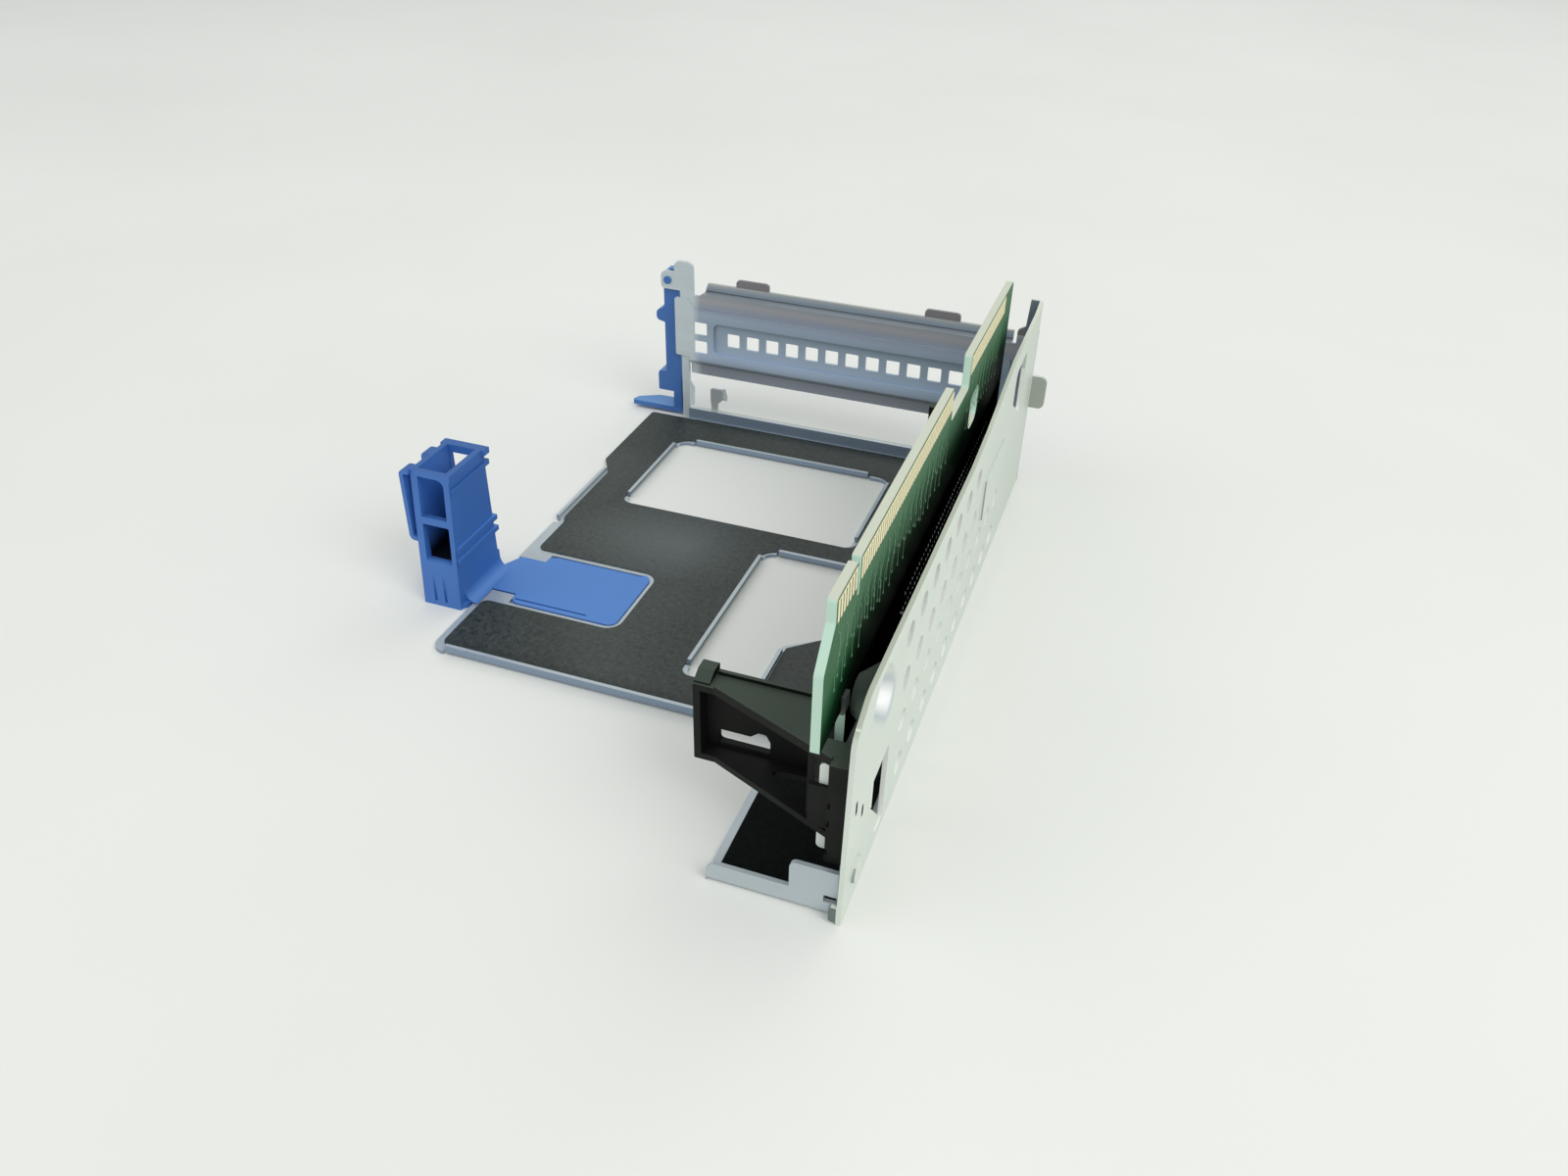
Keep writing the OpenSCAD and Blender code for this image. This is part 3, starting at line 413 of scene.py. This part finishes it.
def sheet_film():
    """The dark insulating film: mottled grain, a soft pale haze of painted reflection, darkest
    under painted shade on its foot.
    """
    m = Mat("dark_film")
    black, white = (0, 0, 0), (1, 1, 1)
    grain = m.ramp(m.noise(700, 6, 0.85), [(0.36, black), (0.64, white)])
    cloud = m.ramp(m.noise(16, 2, 0.4), [(0.45, black), (0.75, white)])
    # painted reflection: a pale patch and soft cloud, fading out towards the side wall
    away = m.distance(PATCH, (0.6, 1, 1))
    patch = m.math("MULTIPLY", m.band(away, *PATCH_REACH), 0.42)
    haze = m.math("MAXIMUM", m.math("MULTIPLY", cloud, 0.25), patch)
    haze = m.both(haze, m.band(m.axis("X"), *HAZE_FROM))
    base = m.mix(grain, tone(8, 12, 11), tone(66, 74, 71))
    base = m.mix(haze, base, tone(118, 129, 128))
    foot = m.band(m.axis("Y"), *FOOT_SHADE)
    shaded = m.mix(grain, tone(5, 8, 7), tone(22, 29, 26))
    m.colour(m.mix(foot, base, shaded)).shine(foot, 0.5, 0.05)
    m.rough(grain, 0.42, 0.62).bump(grain, 0.15, 0.0001)
    return m.mat


# green of the riser board's mask under painted shade, from near black low in the gap beside
# the wall up to its gold edge
MASK_GREEN_AND_SHADE = [
    (0, (6, 7, 6)), (0.12, (8, 14, 10)), (0.3, (7, 21, 11)), (0.5, (15, 45, 26)),
    (0.72, (48, 92, 62)), (0.88, (72, 112, 82)),
]


def circuit_board():
    """Green mask under painted shade that darkens it towards the connector, and pale laminate along
    the cut edges.
    """
    m = Mat("board_mask")
    weave = m.noise(900, 3, 0.7)
    # painted shade: the face darkens lower down in the gap beside the wall, starting lower at the
    # front
    lift = m.math("MULTIPLY", m.band(m.axis("Y"), *GREEN_FRONT), GREEN_LIFT)
    height = m.band(m.math("ADD", m.axis("Z"), lift), *GREEN_HEIGHTS)
    green = m.ramp(height, [(place, tone(*colour)) for place, colour in MASK_GREEN_AND_SHADE])
    face = m.mix(m.math("MULTIPLY", weave, 0.25), green, tone(6, 20, 10))
    cut = m.mix(m.above(m.side("Z"), 0.7), tone(190, 218, 202), tone(202, 206, 190))
    m.colour(m.mix(m.near(m.side("X"), 0, 0.5), face, cut)).shine(height, 0, 0.03)
    m.rough(weave, 0.35, 0.5).bump(weave, 0.05, 0.0001)
    return m.mat


def solder():
    """Solder joints: a painted highlight on their tips, painted shade down their sides."""
    m = Mat("solder")
    # painted highlight on the tips' outward faces, painted shade on the sides
    tip = m.above(m.side("X"), 0.8)
    m.colour(m.mix(tip, tone(14, 15, 14), tone(196, 202, 196))).set(Roughness=0.4)
    m.shine(tip, 0, 0.5)
    return m.mat


MATS = {
    "wall": wall_metal(),
    "zinc": base_metal(),
    "frame": frame_metal(),
    "blue": tower_moulding(),
    # the latch's top colour is painted light on its upward faces
    "latch_blue": moulded(
        "latch_moulding", tone(66, 114, 184), tone(54, 98, 164), (0.4, 0.55), top=tone(92, 138, 194)
    ),
    # the guide's top colour is painted light on upward faces above its roof
    "black": moulded(
        "black_moulding", tone(42, 44, 42), tone(18, 19, 18), (0.45, 0.6),
        top=tone(72, 82, 74), above=GUIDE_ROOF, specular=0.12
    ),
    "hook": moulded("hook_moulding", tone(26, 28, 26), tone(14, 15, 14), (0.6, 0.7), specular=0.1),
    "film": sheet_film(),
    "board": circuit_board(),
    "gold": moulded(
        "gold_plate", tone(254, 242, 202), tone(248, 232, 186), (0.35, 0.45), metallic=0.15
    ),
    "tin": moulded(
        "tin_plate", tone(214, 217, 219), tone(188, 191, 195), (0.25, 0.4), metallic=0.7
    ),
    "solder": solder(),
    "clip_steel": moulded("clip_steel", tone(84, 90, 86), tone(60, 66, 62), metallic=0.5),
    "ceramic": moulded("chip_body", tone(150, 132, 104), tone(124, 106, 82), (0.4, 0.5)),
    "trace": moulded(
        "trace_mask", tone(118, 154, 126), tone(84, 122, 92), (0.45, 0.55), specular=0.1
    ),
}

NODE_MATS = {
    "base_plate": "zinc",
    "insulator_film": "film",
    "side_wall": "wall",
    "wall_rivet": "wall",
    "rear_frame": "frame",
    "slot_filler": "frame",
    "card_latch": "latch_blue",
    "touch_tower": "blue",
    "riser_board": "board",
    "edge_contacts": "gold",
    "card_connector": "black",
    "connector_contacts": "gold",
    "solder_joints": "solder",
    "connector_pegs": "tin",
    "card_guide": "black",
    "board_screws": "clip_steel",
    "board_nuts": "tin",
    "board_clip": "clip_steel",
    "bypass_capacitors": "ceramic",
}
for name, mat in NODE_MATS.items():
    if not nodes[name].data.materials:
        nodes[name].data.materials.append(MATS[mat])
    for slot in nodes[name].material_slots:
        slot.material = MATS[mat]


# ---- small detail ------------------------------------------------------------------------

# traces, in metres: the shortest fall and the step to the next, how far each goes aside, the
# fall from there to its via, and the via's radius and rise
TRACE_FALL = 0.002
TRACE_STEP = 0.0011
TRACE_ASIDE = 0.0022
VIA_FALL = 0.0045
VIA_PAD = (0.00036, 0.00006)
# the guide's snap hooks: how far behind the wall's front edge, foot's height, and own height
HOOKS = ((0.0053, 0.0249, 0.0032), (0.0102, 0.02, 0.0029))


def piece(name, bm, mat, body):
    """Puts a finished bmesh in the scene as one piece of the part."""
    mesh = bpy.data.meshes.new(name)
    bm.to_mesh(mesh)
    bm.free()
    mesh.materials.append(MATS[mat])
    made = bpy.data.objects.new(name, mesh)
    scene.collection.objects.link(made)
    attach(made, body)


def ribbon(bm, points, x, width=0.00017, rise=0.00004):
    """A raised flat trace through (y, z) points, standing off the board's face at x."""
    rows = []
    for k, (y, z) in enumerate(points):
        before, after = points[max(k - 1, 0)], points[min(k + 1, len(points) - 1)]
        along = Vector((after[0] - before[0], after[1] - before[1])).normalized()
        across = Vector((-along.y, along.x)) * width / 2
        rows.append([
            bm.verts.new((x + lift, y + side * across.x, z + side * across.y))
            for side, lift in ((-1, 0), (-1, rise), (1, rise), (1, 0))
        ])
    for a, b in zip(rows, rows[1:]):
        for k in range(4):
            bm.faces.new((a[k], a[(k + 1) % 4], b[(k + 1) % 4], b[k]))
    bm.faces.new(rows[0])
    bm.faces.new(reversed(rows[-1]))


def disc(bm, y, z, x, radius, rise, sides=10):
    """A flat round pad on the board's face at x."""
    turn = Matrix.Rotation(math.pi / 2, 4, "Y")
    place = Matrix.Translation((x + rise / 2, y, z)) @ turn
    bmesh.ops.create_cone(
        bm, cap_ends=True, segments=sides, radius1=radius, radius2=radius, depth=rise, matrix=place
    )


def board_traces(count=96, inset=0.001, clear=0.0004):
    """Traces that fan out from the gold contacts to scattered vias over the connector's tails."""
    lines, vias = bmesh.new(), bmesh.new()
    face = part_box("riser_board")[1].x
    contact_low, contact_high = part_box("edge_contacts")
    start, stop = contact_low.y + inset, contact_high.y - inset
    z = contact_low.z - clear
    for k in range(count):
        y = start + (stop - start) * k / (count - 1)
        if CONTACT_GAP[0] < y < CONTACT_GAP[1]:
            continue
        drop = TRACE_FALL + TRACE_STEP * ((k * 5) % 7)
        jog = TRACE_ASIDE * (1 if k % 3 else -0.6)
        bend = (y - jog, z - drop - abs(jog))
        via = (bend[0], bend[1] - VIA_FALL)
        ribbon(lines, [(y, z), (y, z - drop), bend, via], face)
        disc(vias, *via, face, *VIA_PAD)
    piece("board_traces", lines, "trace", "cage")
    piece("board_vias", vias, "trace", "cage")


def guide_hooks(width=0.0011, root=-0.00095, nose=0.00002):
    """Snap hooks of the card guide that show in the side wall's two small slots."""
    wall_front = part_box("side_wall")[0].y
    hooks = bmesh.new()
    for back, z, height in HOOKS:
        outline = [(root, z), (nose, z + 0.0003), (nose, z + height - 0.0004), (root, z + height)]
        y = wall_front + back
        near, far = ([hooks.verts.new((x, at, up)) for x, up in outline] for at in (y, y + width))
        for k in range(4):
            hooks.faces.new((near[k], near[(k + 1) % 4], far[(k + 1) % 4], far[k]))
        hooks.faces.new(reversed(near))
        hooks.faces.new(far)
    piece("guide_hooks", hooks, "hook", "cage")


board_traces()
guide_hooks()


# ---- floor, light and camera -------------------------------------------------------------

floor_mesh = bpy.data.meshes.new("floor")
floor_mesh.from_pydata([(-3, -2, 0), (3, -2, 0), (3, 4, 0), (-3, 4, 0)], [], [(0, 1, 2, 3)])
floor = bpy.data.objects.new("floor", floor_mesh)
scene.collection.objects.link(floor)
paper = Mat("pale_floor")
paper_tones = [(0.3, (0.79, 0.795, 0.765)), (0.7, (0.83, 0.835, 0.805))]
paper.colour(paper.ramp(paper.noise(4, 3), paper_tones))
paper.set(Roughness=0.75)
floor_mesh.materials.append(paper.mat)


def area(name, place, size, energy, target=Vector((-0.06, -0.1, 0))):
    """A round soft light that points at the middle of the part."""
    lamp = bpy.data.lights.new(name, "AREA")
    lamp.shape = "DISK"
    lamp.size = size
    lamp.energy = energy
    light = bpy.data.objects.new(name, lamp)
    light.location = place
    light.rotation_euler = (target - Vector(place)).to_track_quat("-Z", "Y").to_euler()
    scene.collection.objects.link(light)


area("key", (0.85, -0.6, 1.0), 0.9, 6.8)
area("fill", (-0.8, -0.5, 1.0), 1.0, 2.2)
area("back", (0.1, 1.0, 1.0), 1.0, 2.4)

world = bpy.data.worlds.new("studio")
world.use_nodes = True
sky = world.node_tree.nodes["Background"]
sky.inputs["Color"].default_value = (0.97, 1, 0.985, 1)
sky.inputs["Strength"].default_value = 0.68
scene.world = world
scene.view_settings.view_transform = "Standard"

# the photo's camera: where it stands, its direction, its right-hand side, and its lens in mm
CAMERA_PLACE = (0.036746, -0.33847, 0.187)
CAMERA_AHEAD = (-0.260375, 0.77857, -0.570994)
CAMERA_RIGHT = (0.942693, 0.332802, 0.023917)
CAMERA_LENS = 27.549
camera_data = bpy.data.cameras.new("camera")
camera_data.sensor_width = 36
camera_data.lens = CAMERA_LENS
camera_data.clip_start = 0.01
camera = bpy.data.objects.new("camera", camera_data)
scene.collection.objects.link(camera)
right = Vector(CAMERA_RIGHT).normalized()
ahead = Vector(CAMERA_AHEAD).normalized()
turn = Matrix((right, right.cross(ahead), -ahead)).transposed()
camera.matrix_world = Matrix.Translation(CAMERA_PLACE) @ turn.to_4x4()
scene.camera = camera
